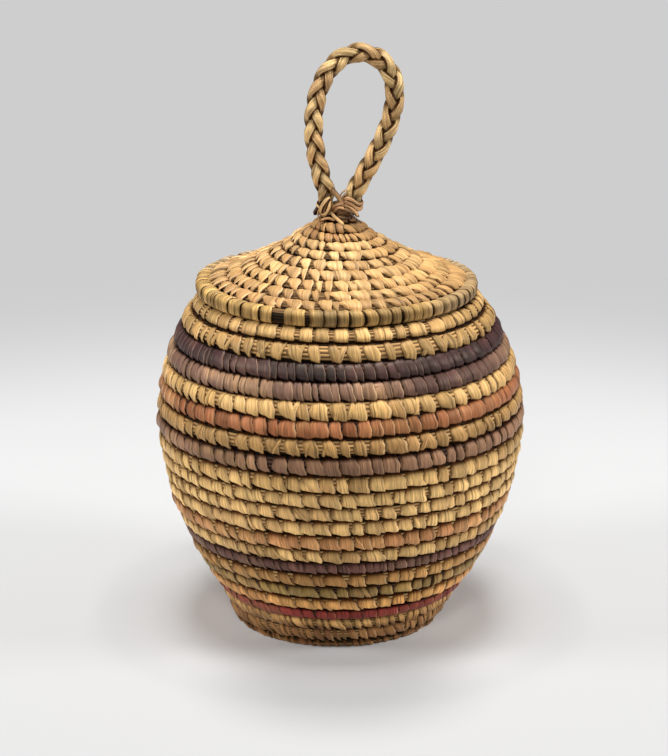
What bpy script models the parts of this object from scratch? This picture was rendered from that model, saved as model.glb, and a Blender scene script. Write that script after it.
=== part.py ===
"""Coiled grass basket with a lift-off lid and a braided loop handle.

The wall is one long coil that starts as a flat spiral under the foot and climbs to the mouth.
It is split into one piece for each colour of sewing grass. The lid is a second coil, wound
from its crown out to its rim. Metres, +Z up, origin on the ground under the middle of the belly.
"""

import math

import bmesh
import bpy
import numpy as np
from mathutils import Vector

# Basket wall: radii and heights of the middle of the coil
FOOT_RADIUS = 0.0406
FOOT_TOP_RADIUS = 0.0468
FOOT_TOP_HEIGHT = 0.0150
BELLY_RADIUS = 0.0723
BELLY_HEIGHT = 0.0890
MOUTH_RADIUS = 0.0562
MOUTH_HEIGHT = 0.1359
LOWER_CURVE = 2.0
UPPER_CURVE = 1.8
BASE_ROUNDS = 7
FLAT_DEPTH = 0.0005

# The handmade wall leans sideways just over its foot and again towards its mouth
SIDE_OFFSET = -0.0017
MOUTH_OFFSET = -0.0008
SWAY_HEIGHT = 0.0250

# Lid: the middle of its rim coil, its cone that flares towards the rim and the collar under it
LID_RIM_RADIUS = 0.0539
LID_RISE = 0.0320
LID_CURVE = 1.5
CROWN_ROUNDING = 0.0050
COLLAR_ROUND_WIDTH = 0.0056
COLLAR_CLEARANCE = 0.0006
COLLAR_ROUNDS = 2
COLLAR_END_TURN = 1.8

# Handle: a drop-shaped loop of three braided strands
HANDLE_HEIGHT = 0.0652
HANDLE_HALF_WIDTH = 0.0158
HANDLE_LEG_SPREAD = 0.0060
HANDLE_FOOT_OFFSET = 0.0012
HANDLE_TOP_OFFSET = 0.0092
LEG_CURVE = 4
STRAND_RADIUS = 0.0012
STRAND_FOOT_RADIUS = 0.00085
BRAID_FLATNESS = 1.25
BRAID_PERIODS = 4.5
BRAID_START = 0.0160
BRAID_POINTS = 72
TIE_RADIUS = 0.0008
TIE_TURNS = 2
TIE_PITCH = 0.0026
TIE_LIFT = 0.0014
TIE_POINTS = 10

# Clearances
COIL_GAP = 0.0005
END_GAP = 0.0003
SEAT_GAP = 0.0003
STRAND_GAP = 0.0004
TIE_GAP = 0.0005
BRAID_GAP = 0.0008
HANDLE_LIFT = 0.0003

# Height of the bottom coil's middle, so that its flat face is on the ground
BASE_HEIGHT = (FOOT_RADIUS / BASE_ROUNDS - COIL_GAP) / 2 - FLAT_DEPTH

# How the coils are wound: each round steps up at the back, more gradually in mid wall
STEP_SHARE = 0.22
RAMP_SHARE = 0.2
TAPER_END_TURN = 0.93
START_TURN = 0.5
START_THINNING = 0.6
WALL_POINTS = 18
MIDDLE_ROUND_POINTS = 14
WIDE_ROUND_RADIUS = 0.0350
SMALL_ROUND_RADIUS = 0.0200
SMALL_ROUND_POINTS = 10
TUBE_RESOLUTION = 1
EDGE_TURN = math.pi / 6
PROFILE_STEPS = 600

# Colours, roughness
STRAW = (0.60, 0.42, 0.20)
TAN = (0.55, 0.34, 0.17)
BROWN = (0.36, 0.20, 0.09)
RED = (0.33, 0.06, 0.05)
GOLD = (0.55, 0.37, 0.11)
OLIVE = (0.27, 0.22, 0.08)
MAUVE = (0.24, 0.15, 0.13)
PINK = (0.52, 0.28, 0.15)
SLATE = (0.20, 0.15, 0.14)
RUST = (0.38, 0.16, 0.08)
PALE_PLUM = (0.20, 0.11, 0.09)
PLUM = (0.06, 0.03, 0.04)
PALE_STRAW = (0.68, 0.50, 0.26)
GRASS_ROUGHNESS = 0.62

# Wall pieces from the foot to the mouth: node, widths of its rounds, colour
WALL_BANDS = (
    ("foot_coil", (0.0048, 0.0047), BROWN),
    ("red_band", (0.0060,), RED),
    ("gold_band", (0.0070,), GOLD),
    ("olive_band", (0.0066,), OLIVE),
    ("tan_band", (0.0070,), TAN),
    ("mauve_band", (0.0066,), MAUVE),
    ("lower_straw_coil", (0.0056,), STRAW),
    ("pink_band", (0.0072,), PINK),
    ("belly_coil", (0.0066, 0.0062, 0.0058, 0.0066), STRAW),
    ("slate_band", (0.0074,), SLATE),
    ("middle_straw_coil", (0.0070,), STRAW),
    ("rust_band", (0.0070,), RUST),
    ("upper_straw_coil", (0.0076,), STRAW),
    ("pale_plum_band", (0.0082,), PALE_PLUM),
    ("plum_band", (0.0082,), PLUM),
    ("mouth_coil", (0.0077, 0.0073), STRAW),
)
EDGE_ROUND_WIDTH = 0.0048

# Lid pieces from the crown to the rim
LID_BANDS = (
    ("lid_crown", (0.0061, 0.0057, 0.0051), BROWN),
    ("lid_upper_cone", (0.0045, 0.0048, 0.0058, 0.0066), PALE_STRAW),
    ("lid_lower_cone", (0.0072, 0.0072, 0.0075), STRAW),
    ("lid_rim", (0.0076,), GOLD),
)


def smooth(share):
    """Ease from 0 to 1 with level ends."""
    share = min(max(share, 0.0), 1.0)
    return share * share * (3.0 - 2.0 * share)


def wall_radius(height):
    """Radius of the coil's middle at a height on the basket's wall."""
    if height < FOOT_TOP_HEIGHT:
        share = (height - BASE_HEIGHT) / (FOOT_TOP_HEIGHT - BASE_HEIGHT)
        return FOOT_RADIUS + (FOOT_TOP_RADIUS - FOOT_RADIUS) * share
    if height < BELLY_HEIGHT:
        share = (BELLY_HEIGHT - height) / (BELLY_HEIGHT - FOOT_TOP_HEIGHT)
        return BELLY_RADIUS - (BELLY_RADIUS - FOOT_TOP_RADIUS) * share ** LOWER_CURVE
    share = (height - BELLY_HEIGHT) / (MOUTH_HEIGHT - BELLY_HEIGHT)
    return BELLY_RADIUS - (BELLY_RADIUS - MOUTH_RADIUS) * share ** UPPER_CURVE


def measured_profile(points):
    """Give a profile as arrays of distance along it, radius and height."""
    radius, height = np.array(points).T
    steps = np.hypot(np.diff(radius), np.diff(height))
    return np.concatenate(([0.0], np.cumsum(steps))), radius, height


def basket_profile():
    """From the centre of the bottom out to the foot, then up the wall past the mouth."""
    top = MOUTH_HEIGHT + (MOUTH_HEIGHT - BELLY_HEIGHT) * RAMP_SHARE
    heights = np.linspace(BASE_HEIGHT, top, PROFILE_STEPS)
    wall = [(wall_radius(height), height) for height in heights]
    return measured_profile([(0.0, BASE_HEIGHT)] + wall)


def lid_height(radius, rim_height):
    """Height of the coil's middle on the lid: a cone rounded at its tip and flared at its rim."""
    inward = max(1 - math.hypot(radius, CROWN_ROUNDING) / LID_RIM_RADIUS, 0.0)
    return rim_height + LID_RISE * inward ** LID_CURVE


def lid_slope(radius):
    """Angle between the lid and the level at a radius."""
    reach = LID_RIM_RADIUS / PROFILE_STEPS
    fall = lid_height(radius - reach, 0.0) - lid_height(radius + reach, 0.0)
    return math.atan2(fall, 2 * reach)


def lid_profile(rim_height):
    """From the crown's centre down to the rim and a little beyond."""
    radii = np.linspace(0.0, LID_RIM_RADIUS * (1.0 + RAMP_SHARE), PROFILE_STEPS)
    return measured_profile([(radius, lid_height(radius, rim_height)) for radius in radii])


def coil_centres(widths, first, last):
    """Distances of the rounds' middles, with their widths scaled to fill first to last."""
    steps = [(near + far) / 2 for near, far in zip(widths, widths[1:])]
    scale = (last - first) / sum(steps)
    places = first + scale * np.concatenate(([0.0], np.cumsum(steps)))
    return list(places), [width * scale for width in widths]


def on_circle(radius, share, height, middle):
    """A place on a round, counter-clockwise seen from above, from the back."""
    angle = math.pi / 2 + 2 * math.pi * share
    return Vector((middle + radius * math.cos(angle), radius * math.sin(angle), height))


def wall_middle(height):
    """Sideways place of the wall's middle, off centre at the foot and at the mouth."""
    upper = smooth((height - BELLY_HEIGHT) / (MOUTH_HEIGHT - BELLY_HEIGHT))
    return SIDE_OFFSET * (1 - smooth(height / SWAY_HEIGHT)) + MOUTH_OFFSET * upper


def lid_middle(_height):
    """Sideways place of the lid's middle, straight over the foot."""
    return SIDE_OFFSET


class Coil:
    """A coil wound along a profile, counter-clockwise seen from above, one step for each round."""

    def __init__(self, profile, centres, widths, level_rounds, middle):
        self.profile = profile
        self.centres = centres
        self.widths = widths
        self.level_rounds = level_rounds
        self.middle = middle
        self.last = len(centres) - 1

    def climb(self, number, share):
        """Share of the step to the next round that is done at this share of the turn."""
        spiral = min(1.0, RAMP_SHARE * min(abs(number - level) for level in self.level_rounds))
        step = smooth((share - 1.0 + STEP_SHARE) / STEP_SHARE)
        return spiral * share + (1.0 - spiral) * step

    def width(self, number, share):
        """Width of a round at a share of its turn."""
        if number == self.last:
            below = self.last - 1
            top = self.centres[self.last] + self.widths[self.last] / 2
            return top - self.distance(below, share) - self.width(below, share) / 2
        here, after = self.widths[number], self.widths[number + 1]
        return here + (after - here) * self.climb(number, share)

    def distance(self, number, share):
        """Distance along the profile of a round's middle; the last round keeps its outer edge."""
        if number == self.last:
            top = self.centres[self.last] + self.widths[self.last] / 2
            return top - self.width(number, share) / 2
        here, after = self.centres[number], self.centres[number + 1]
        return here + (after - here) * self.climb(number, share)

    def section(self, number, share):
        """Radius and height of a round's middle."""
        along, radius, height = self.profile
        place = self.distance(number, share)
        return Vector((np.interp(place, along, radius), np.interp(place, along, height)))

    def thickness(self, number, share):
        """Radius of the tube, so that each pair of neighbours keeps the coil gap."""
        here = self.section(number, share)
        own = self.width(number, share)
        shares = [own / 2]
        for other in (number - 1, number + 1):
            thinning = other == self.last or number == self.last
            if 0 <= other <= self.last and not thinning:
                gap = (self.section(other, share) - here).length
                shares.append(gap * own / (own + self.width(other, share)))
        return min(shares) - COIL_GAP / 2

    def point(self, turn):
        """Place and tube radius at a number of turns from the start."""
        number = min(int(math.floor(turn)), self.last)
        share = turn - number
        radius, height = self.section(number, share)
        place = on_circle(radius, share, height, self.middle(height))
        return place, self.thickness(number, share), self.lean(number, share)

    def lean(self, number, share):
        """Turn of the tube's sides that points two of its edges at its neighbours."""
        along, radius, height = self.profile
        here = self.distance(number, share)
        ends = (here - self.widths[number] / 2, here + self.widths[number] / 2)
        out = np.diff(np.interp(ends, along, radius))[0]
        up = np.diff(np.interp(ends, along, height))[0]
        return EDGE_TURN + math.atan2(out, up)

    def run(self, first, last):
        """Points from one turn to another, where whole turns lie halfway along a chord."""
        turns = []
        for number in range(int(first), math.ceil(last)):
            count = round_points(self.section(number, 0.0)[0])
            marks = [number + (step + 0.5) / count for step in range(count)]
            turns += [turn for turn in marks if first <= turn <= last]
        found = [self.point(turn) for turn in turns]
        if first == int(first):
            found.insert(0, self.joint(first, 1))
        if last == int(last):
            found.append(self.joint(last, -1))
        return found

    def joint(self, turn, side):
        """The end of a piece that butts against the next one, half a gap short of the middle."""
        before = round_points(self.section(turn - 1, 0.0)[0])
        after = round_points(self.section(turn, 0.0)[0])
        near, near_radius, near_lean = self.point(turn - 0.5 / before)
        far, far_radius, far_lean = self.point(turn + 0.5 / after)
        along = (far - near).normalized() * side * END_GAP / 2
        return (near + far) / 2 + along, (near_radius + far_radius) / 2, (near_lean + far_lean) / 2


def round_points(radius):
    """Points in a round: fewer in the small rounds near a coil's start."""
    if radius < SMALL_ROUND_RADIUS:
        return SMALL_ROUND_POINTS
    return MIDDLE_ROUND_POINTS if radius < WIDE_ROUND_RADIUS else WALL_POINTS


def thin_start(path):
    """Thin the first point of a coil, where the grass is tied off."""
    place, radius, lean = path[0]
    return [(place, radius * START_THINNING, lean)] + path[1:]


def least_gap(path):
    """Least clear distance between two stretches of one tube that aren't neighbours along it."""
    places = np.array([place[:] for place, _, _ in path])
    radii = np.array([radius for _, radius, _ in path])
    run = np.concatenate(([0.0], np.cumsum(np.linalg.norm(np.diff(places, axis=0), axis=1))))
    apart = np.linalg.norm(places[:, None] - places[None], axis=2) - radii[:, None] - radii[None]
    far = np.abs(run[:, None] - run[None]) > 4 * (radii[:, None] + radii[None])
    return float(apart[far].min()) if far.any() else math.inf


def new_material(name, colour):
    """A plain matt grass material."""
    material = bpy.data.materials.new(name)
    material.use_nodes = True
    shader = material.node_tree.nodes["Principled BSDF"]
    shader.inputs["Base Color"].default_value = (*colour, 1.0)
    shader.inputs["Roughness"].default_value = GRASS_ROUGHNESS
    shader.inputs["Metallic"].default_value = 0.0
    material.diffuse_color = (*colour, 1.0)
    return material


def new_collection(name):
    """A collection in the scene."""
    collection = bpy.data.collections.new(name)
    bpy.context.scene.collection.children.link(collection)
    return collection


def tube(name, path, colour, parts):
    """One unbroken tube along a path of places, radii and turns of its sides."""
    curve = bpy.data.curves.new(name, "CURVE")
    curve.dimensions = "3D"
    curve.twist_mode = "Z_UP"
    curve.bevel_depth = 1.0
    curve.bevel_resolution = TUBE_RESOLUTION
    curve.use_fill_caps = True
    spline = curve.splines.new("POLY")
    spline.points.add(len(path) - 1)
    for spot, (place, radius, lean) in zip(spline.points, path):
        spot.co = (*place, 1.0)
        spot.radius = radius
        spot.tilt = lean
    curve.materials.append(new_material(name + "_grass", colour))
    piece = bpy.data.objects.new(name, curve)
    parts.objects.link(piece)
    print(f"{name}: least gap to itself {least_gap(path) * 1000:.2f} mm")
    return piece


def as_mesh(piece):
    """Turn a tube into a mesh object with its caps welded on."""
    bpy.context.view_layer.update()
    graph = bpy.context.evaluated_depsgraph_get()
    mesh = bpy.data.meshes.new_from_object(piece.evaluated_get(graph))
    work = bmesh.new()
    work.from_mesh(mesh)
    bmesh.ops.remove_doubles(work, verts=work.verts, dist=1e-6)
    work.to_mesh(mesh)
    work.free()
    solid = bpy.data.objects.new(piece.name, mesh)
    solid.matrix_world = piece.matrix_world
    for collection in piece.users_collection:
        collection.objects.link(solid)
    name = piece.name
    bpy.data.objects.remove(piece)
    solid.name = name
    return solid


def ground_cutter(cutters):
    """A block whose top is the ground, which cuts the bottom of the coil flat."""
    work = bmesh.new()
    bmesh.ops.create_cube(work, size=1.0)
    side = 3 * FOOT_RADIUS
    depth = 10 * FLAT_DEPTH
    for corner in work.verts:
        corner.co = Vector((corner.co.x * side, corner.co.y * side, (corner.co.z - 0.5) * depth))
    mesh = bpy.data.meshes.new("ground_cutter")
    work.to_mesh(mesh)
    work.free()
    cutter = bpy.data.objects.new("ground_cutter", mesh)
    cutter.hide_render = True
    cutter.display_type = "WIRE"
    cutters.objects.link(cutter)
    return cutter


def make_basket(parts, cutters):
    """The wall's pieces, with the lowest one cut flat where it stands."""
    widths = [EDGE_ROUND_WIDTH]
    for _, rounds, _ in WALL_BANDS:
        widths += rounds
    profile = basket_profile()
    along, _, height = profile
    mouth = float(np.interp(MOUTH_HEIGHT, height[1:], along[1:]))
    centres, widths = coil_centres(widths, FOOT_RADIUS, mouth)
    base_width = FOOT_RADIUS / BASE_ROUNDS
    base_centres = [base_width * number for number in range(BASE_ROUNDS)]
    coil = Coil(profile, base_centres + centres, [base_width] * BASE_ROUNDS + widths,
                (BASE_ROUNDS, BASE_ROUNDS + len(centres) - 1), wall_middle)
    first = BASE_ROUNDS + 1
    base = tube("base_coil", thin_start(coil.run(START_TURN, first)), BROWN, parts)
    base = as_mesh(base)
    cut = base.modifiers.new("flat_foot", "BOOLEAN")
    cut.operation = "DIFFERENCE"
    cut.object = ground_cutter(cutters)
    for name, rounds, colour in WALL_BANDS:
        last = first + len(rounds)
        end = last if last <= coil.last else coil.last + TAPER_END_TURN
        tube(name, coil.run(first, end), colour, parts)
        first = last
    return coil


def make_lid(coil, parts):
    """The lid's crown, cone, rim and collar; the rim rests on the mouth round."""
    widths = [width for _, rounds, _ in LID_BANDS for width in rounds]
    along, radius, _ = lid_profile(0.0)
    centres, widths = coil_centres(widths, 0.0, float(np.interp(LID_RIM_RADIUS, radius, along)))
    mouth_top = MOUTH_HEIGHT + coil.thickness(coil.last, 0.0)
    rim_height = mouth_top + SEAT_GAP + (widths[-1] - COIL_GAP) / 2 * math.cos(EDGE_TURN)
    lid = Coil(lid_profile(rim_height), centres, widths, (len(centres) - 1,), lid_middle)
    first = 0
    for name, rounds, colour in LID_BANDS:
        last = first + len(rounds)
        end = last if last <= lid.last else lid.last + TAPER_END_TURN
        path = lid.run(max(first, START_TURN), end)
        tube(name, path if first else thin_start(path), colour, parts)
        first = last
    make_collar(coil, lid, rim_height, parts)
    return lid, rim_height


def make_collar(coil, lid, rim_height, parts):
    """Two rounds under the cone that drop into the mouth with clearance."""
    collar_radius = (COLLAR_ROUND_WIDTH - COIL_GAP) / 2
    mouth_inside = MOUTH_RADIUS - coil.thickness(coil.last, 0.0)
    radius = mouth_inside - abs(SIDE_OFFSET - MOUTH_OFFSET) - COLLAR_CLEARANCE - collar_radius
    drop = (lid.widths[-2] / 2 + COIL_GAP + collar_radius) / math.cos(lid_slope(radius))
    top = lid_height(radius, rim_height) - drop
    path = []
    for step in range(int(COLLAR_END_TURN * MIDDLE_ROUND_POINTS)):
        turn = (step + 0.5) / MIDDLE_ROUND_POINTS
        share = turn - int(turn)
        level = int(turn) + smooth((share - 1 + STEP_SHARE) / STEP_SHARE)
        level = min(level, COLLAR_ROUNDS - 1)
        height = top - level * COLLAR_ROUND_WIDTH
        place = on_circle(radius, share, height, SIDE_OFFSET)
        path.append((place, collar_radius, EDGE_TURN))
    tube("lid_collar", path, STRAW, parts)


def handle_side(share):
    """Half the distance between the legs at a share of the handle's height."""
    drop = HANDLE_HALF_WIDTH * share * math.sqrt(max(1 - share, 0.0)) * 3 * math.sqrt(3) / 2
    return math.hypot(drop, HANDLE_LEG_SPREAD * (1 - share) ** LEG_CURVE)


def handle_middle(share):
    """Sideways place of the loop's middle, which leans as it rises."""
    return SIDE_OFFSET + HANDLE_FOOT_OFFSET + (HANDLE_TOP_OFFSET - HANDLE_FOOT_OFFSET) * smooth(share)


def seat_height(lid, rim_height, leg):
    """Height of the crown's surface under the inner edge of a leg's foot."""
    half = STRAND_FOOT_RADIUS * 3 + STRAND_GAP
    inner = max(abs(leg - SIDE_OFFSET) - half, 0.0)
    flat_side = (max(lid.widths[:3]) - COIL_GAP) / 2 * math.cos(EDGE_TURN)
    return lid_height(inner, rim_height) + flat_side / math.cos(lid_slope(inner)) + HANDLE_LIFT


def handle_route(lid, rim_height):
    """The loop's middle line, from the left foot over the top to the right foot."""
    left = handle_middle(0) - handle_side(0)
    right = handle_middle(0) + handle_side(0)
    foot = seat_height(lid, rim_height, left)
    route = [Vector((left, 0, foot))]
    for step in range(1, PROFILE_STEPS):
        angle = 2 * math.pi * step / PROFILE_STEPS
        share = math.sin(angle / 2) ** 2
        side = handle_side(share) * (-1 if angle < math.pi else 1)
        route.append(Vector((handle_middle(share) + side, 0, foot + HANDLE_HEIGHT * share)))
    route.append(Vector((right, 0, foot)))
    route.append(Vector((right, 0, seat_height(lid, rim_height, right))))
    return measured_route(route)


def measured_route(route):
    """Give a route as arrays of distance along it and places."""
    places = np.array([place[:] for place in route])
    steps = np.linalg.norm(np.diff(places, axis=0), axis=1)
    return np.concatenate(([0.0], np.cumsum(steps))), places


def route_point(route, distance):
    """Place and direction on a route."""
    along, places = route

    def at(where):
        where = min(max(where, 0.0), along[-1])
        return Vector([np.interp(where, along, places[:, axis]) for axis in range(3)])

    reach = 2 * STRAND_RADIUS
    direction = (at(distance + reach) - at(distance - reach)).normalized()
    return at(distance), direction


def make_handle(lid, rim_height, parts):
    """Three strands: side by side at the feet, braided in between."""
    route = handle_route(lid, rim_height)
    length = route[0][-1]
    depth_swing = (2 * STRAND_RADIUS + BRAID_GAP) / math.sqrt(3)
    side_swing = depth_swing * BRAID_FLATNESS
    foot_swing = 2 * STRAND_FOOT_RADIUS + STRAND_GAP
    depth = Vector((0, 1, 0))
    for number, letter in enumerate("abc"):
        path = []
        for step in range(BRAID_POINTS + 1):
            distance = length * step / BRAID_POINTS
            middle, along = route_point(route, distance)
            inward = min(distance, length - distance)
            braided = smooth((inward - BRAID_START / 2) / (BRAID_START / 2))
            phase = braid_phase((distance - BRAID_START) / (length - 2 * BRAID_START), number)
            side = along.cross(depth)
            swing = side_swing * math.sin(phase) * braided
            flat = foot_swing * foot_place(phase) * (1 - braided)
            lift = depth_swing * math.sin(2 * phase) * braided
            radius = STRAND_FOOT_RADIUS + (STRAND_RADIUS - STRAND_FOOT_RADIUS) * braided
            path.append((middle + side * (swing + flat) + depth * lift, radius, 0.0))
        tube("braid_strand_" + letter, path, STRAW, parts)
    make_tie("left_tie", route, 1, parts)
    make_tie("right_tie", route, -1, parts)


def braid_phase(share, number):
    """Angle of a strand in its weave, which stays still at the feet."""
    return 2 * math.pi * (BRAID_PERIODS * min(max(share, 0.0), 1.0) + number / 3)


def foot_place(phase):
    """Place of a strand across a foot, -1, 0 or 1, in the order in which the braid leaves it."""
    return math.sin(phase) / math.sin(2 * math.pi / 3)


def make_tie(name, route, side, parts):
    """A lashing of a few turns round the three strands of one leg."""
    half_width = 3 * STRAND_FOOT_RADIUS + STRAND_GAP + TIE_GAP + TIE_RADIUS
    half_depth = STRAND_FOOT_RADIUS + TIE_GAP + TIE_RADIUS
    start = TIE_LIFT if side > 0 else route[0][-1] - TIE_LIFT
    near = route_point(route, start)[0]
    far = route_point(route, start + side * TIE_PITCH * TIE_TURNS)[0]
    across = (far - near).normalized().cross(Vector((0, 1, 0)))
    last = TIE_TURNS * TIE_POINTS
    path = []
    for step in range(last + 1):
        angle = 2 * math.pi * step / TIE_POINTS
        turned = across * half_width * math.cos(angle) + Vector((0, half_depth * math.sin(angle), 0))
        path.append((near.lerp(far, step / last) + turned, TIE_RADIUS, 0.0))
    tube(name, path, BROWN, parts)


def main():
    """Clear the scene and build the basket, its lid and its handle."""
    for old in list(bpy.data.objects):
        bpy.data.objects.remove(old)
    parts = new_collection("grass_basket")
    cutters = new_collection("cutters")
    coil = make_basket(parts, cutters)
    lid, rim_height = make_lid(coil, parts)
    make_handle(lid, rim_height, parts)


main()
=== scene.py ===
"""Looks of a coiled grass basket: every sewing stitch, the bundles under them and the braided loop."""

import math

import bpy
import numpy as np
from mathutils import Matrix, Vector


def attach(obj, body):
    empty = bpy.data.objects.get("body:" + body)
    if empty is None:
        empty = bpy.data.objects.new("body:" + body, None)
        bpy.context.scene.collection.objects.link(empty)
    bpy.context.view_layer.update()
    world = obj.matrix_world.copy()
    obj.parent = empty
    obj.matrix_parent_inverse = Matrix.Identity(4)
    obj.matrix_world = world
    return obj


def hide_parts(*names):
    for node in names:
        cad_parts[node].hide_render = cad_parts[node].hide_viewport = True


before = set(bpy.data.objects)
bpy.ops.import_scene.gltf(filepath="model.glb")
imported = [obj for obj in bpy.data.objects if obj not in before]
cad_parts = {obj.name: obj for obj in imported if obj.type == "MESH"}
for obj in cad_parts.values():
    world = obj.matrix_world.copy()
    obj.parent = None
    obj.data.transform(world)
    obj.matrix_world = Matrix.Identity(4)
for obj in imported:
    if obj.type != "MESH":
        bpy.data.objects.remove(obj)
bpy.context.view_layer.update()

RNG = np.random.default_rng(7)

# Camera: place, tilt down in degrees, focal length and photograph's height in pixels, sensor in mm
CAMERA_PLACE = (-0.0028, -1.05, 0.4185)
CAMERA_PITCH = 16.75
FOCAL_PIXELS, PHOTO_HEIGHT = 2645, 756
SENSOR_SIZE = 36.0

# Wall profile of the middle of the coil, as in the solids
FOOT_RADIUS, FOOT_TOP_RADIUS, FOOT_TOP_HEIGHT = 0.0406, 0.0468, 0.0150
BELLY_RADIUS, BELLY_HEIGHT = 0.0723, 0.0890
MOUTH_RADIUS, MOUTH_HEIGHT = 0.0562, 0.1359
LOWER_CURVE, UPPER_CURVE = 2.0, 1.8
BASE_ROUNDS = 7
COIL_GAP = 0.0005
# How deep the underside is cut flat
FLAT_DEPTH = 0.0005
BASE_HEIGHT = (FOOT_RADIUS / BASE_ROUNDS - COIL_GAP) / 2 - FLAT_DEPTH
SIDE_OFFSET, MOUTH_OFFSET, SWAY_HEIGHT = -0.0017, -0.0008, 0.0250

# Lid profile and collar
LID_RIM_RADIUS, LID_RISE, LID_CURVE, CROWN_ROUNDING = 0.0539, 0.0320, 1.5, 0.0050
RIM_HEIGHT = 0.1428
COLLAR_RADIUS, COLLAR_TOP, COLLAR_ROUND_WIDTH = 0.04863, 0.13665, 0.0056
COLLAR_START_TURN, COLLAR_END_TURN = 0.04, 1.75

# Handle: a drop-shaped loop of three braided strands
HANDLE_FOOT, HANDLE_HEIGHT = 0.1730, 0.0652
HANDLE_HALF_WIDTH, HANDLE_LEG_SPREAD = 0.0158, 0.0060
HANDLE_FOOT_OFFSET, HANDLE_TOP_OFFSET, LEG_CURVE = 0.0012, 0.0092, 4
BRAID_PERIODS, BRAID_START = 4.5, 0.0160
BRAID_SIDE, BRAID_DEPTH = 0.0024, 0.0019
STRAND_HALF_WIDTH, STRAND_HALF_DEPTH = 0.00195, 0.00135
# At the feet the strands lie side by side and are thinner: end gap, where braiding begins and over
# what length, how far the outer two lie aside, and half sizes
BRAID_END_GAP = 0.0008
BRAID_BEGIN, BRAID_EASE = 0.003, 0.008
FOOT_SIDE, FOOT_HALF_WIDTH, FOOT_HALF_DEPTH = 0.0019, 0.0011, 0.0010
STRAND_LEAN = 0.9
HANDLE_STEPS, BRAID_STEPS, STRAND_SIDES, STRAND_TAPER = 601, 420, 36, 0.01

# How a round steps up to the next one
STEP_SHARE, RAMP_SHARE = 0.22, 0.2
START_TURN, END_TURN = 0.5, 0.93
# Least width and radius of a coil, and the share of its width over which its direction is taken
LEAST_WIDTH, LEAST_RADIUS = 0.0002, 0.0015
DIRECTION_REACH = 0.4
# A step in turns that is past a joint between rounds
JUST_PAST = 1e-6
PROFILE_STEPS, COLLAR_STEPS = 600, 9


def smooth(share):
    """Ease from 0 to 1 with level ends."""
    share = np.clip(share, 0.0, 1.0)
    return share * share * (3.0 - 2.0 * share)


def fade(value, start, reach):
    """Ease from 0 at the start to 1 one reach further on."""
    return smooth((value - start) / reach)


def unit(vectors):
    """Rows of vectors at length 1."""
    return vectors / np.linalg.norm(vectors, axis=1)[:, None]


def travelled(path):
    """Distance along a path at each of its points."""
    return np.concatenate(([0.0], np.cumsum(np.linalg.norm(np.diff(path, axis=0), axis=1))))


def stacked(shape, *values):
    """Values spread over one shape and put side by side."""
    return np.stack([np.broadcast_to(value, shape) for value in values], axis=-1)


def placed(name, data):
    """A new object in the scene."""
    thing = bpy.data.objects.new(name, data)
    bpy.context.scene.collection.objects.link(thing)
    return thing


# The coils


def wall_radius(height):
    """Radius of the coil's middle at heights on the wall."""
    widening = (FOOT_TOP_RADIUS - FOOT_RADIUS) * (height - BASE_HEIGHT)
    foot = FOOT_RADIUS + widening / (FOOT_TOP_HEIGHT - BASE_HEIGHT)
    low = np.clip((BELLY_HEIGHT - height) / (BELLY_HEIGHT - FOOT_TOP_HEIGHT), 0, 1)
    high = np.clip((height - BELLY_HEIGHT) / (MOUTH_HEIGHT - BELLY_HEIGHT), 0, None)
    lower = BELLY_RADIUS - (BELLY_RADIUS - FOOT_TOP_RADIUS) * low ** LOWER_CURVE
    upper = BELLY_RADIUS - (BELLY_RADIUS - MOUTH_RADIUS) * high ** UPPER_CURVE
    return np.where(height < FOOT_TOP_HEIGHT, foot, np.where(height < BELLY_HEIGHT, lower, upper))


def lid_height(radius):
    """Height of the coil's middle on the lid."""
    inward = np.clip(1 - np.hypot(radius, CROWN_ROUNDING) / LID_RIM_RADIUS, 0, None)
    return RIM_HEIGHT + LID_RISE * inward ** LID_CURVE


def measured(radius, height):
    """A profile as arrays of distance along it, radius and height."""
    steps = np.hypot(np.diff(radius), np.diff(height))
    return np.concatenate(([0.0], np.cumsum(steps))), radius, height


def coil_centres(widths, first, last):
    """Distances of the rounds' middles, with their widths scaled to fill first to last."""
    steps = (widths[:-1] + widths[1:]) / 2
    scale = (last - first) / steps.sum()
    return first + scale * np.concatenate(([0.0], np.cumsum(steps))), widths * scale


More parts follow.
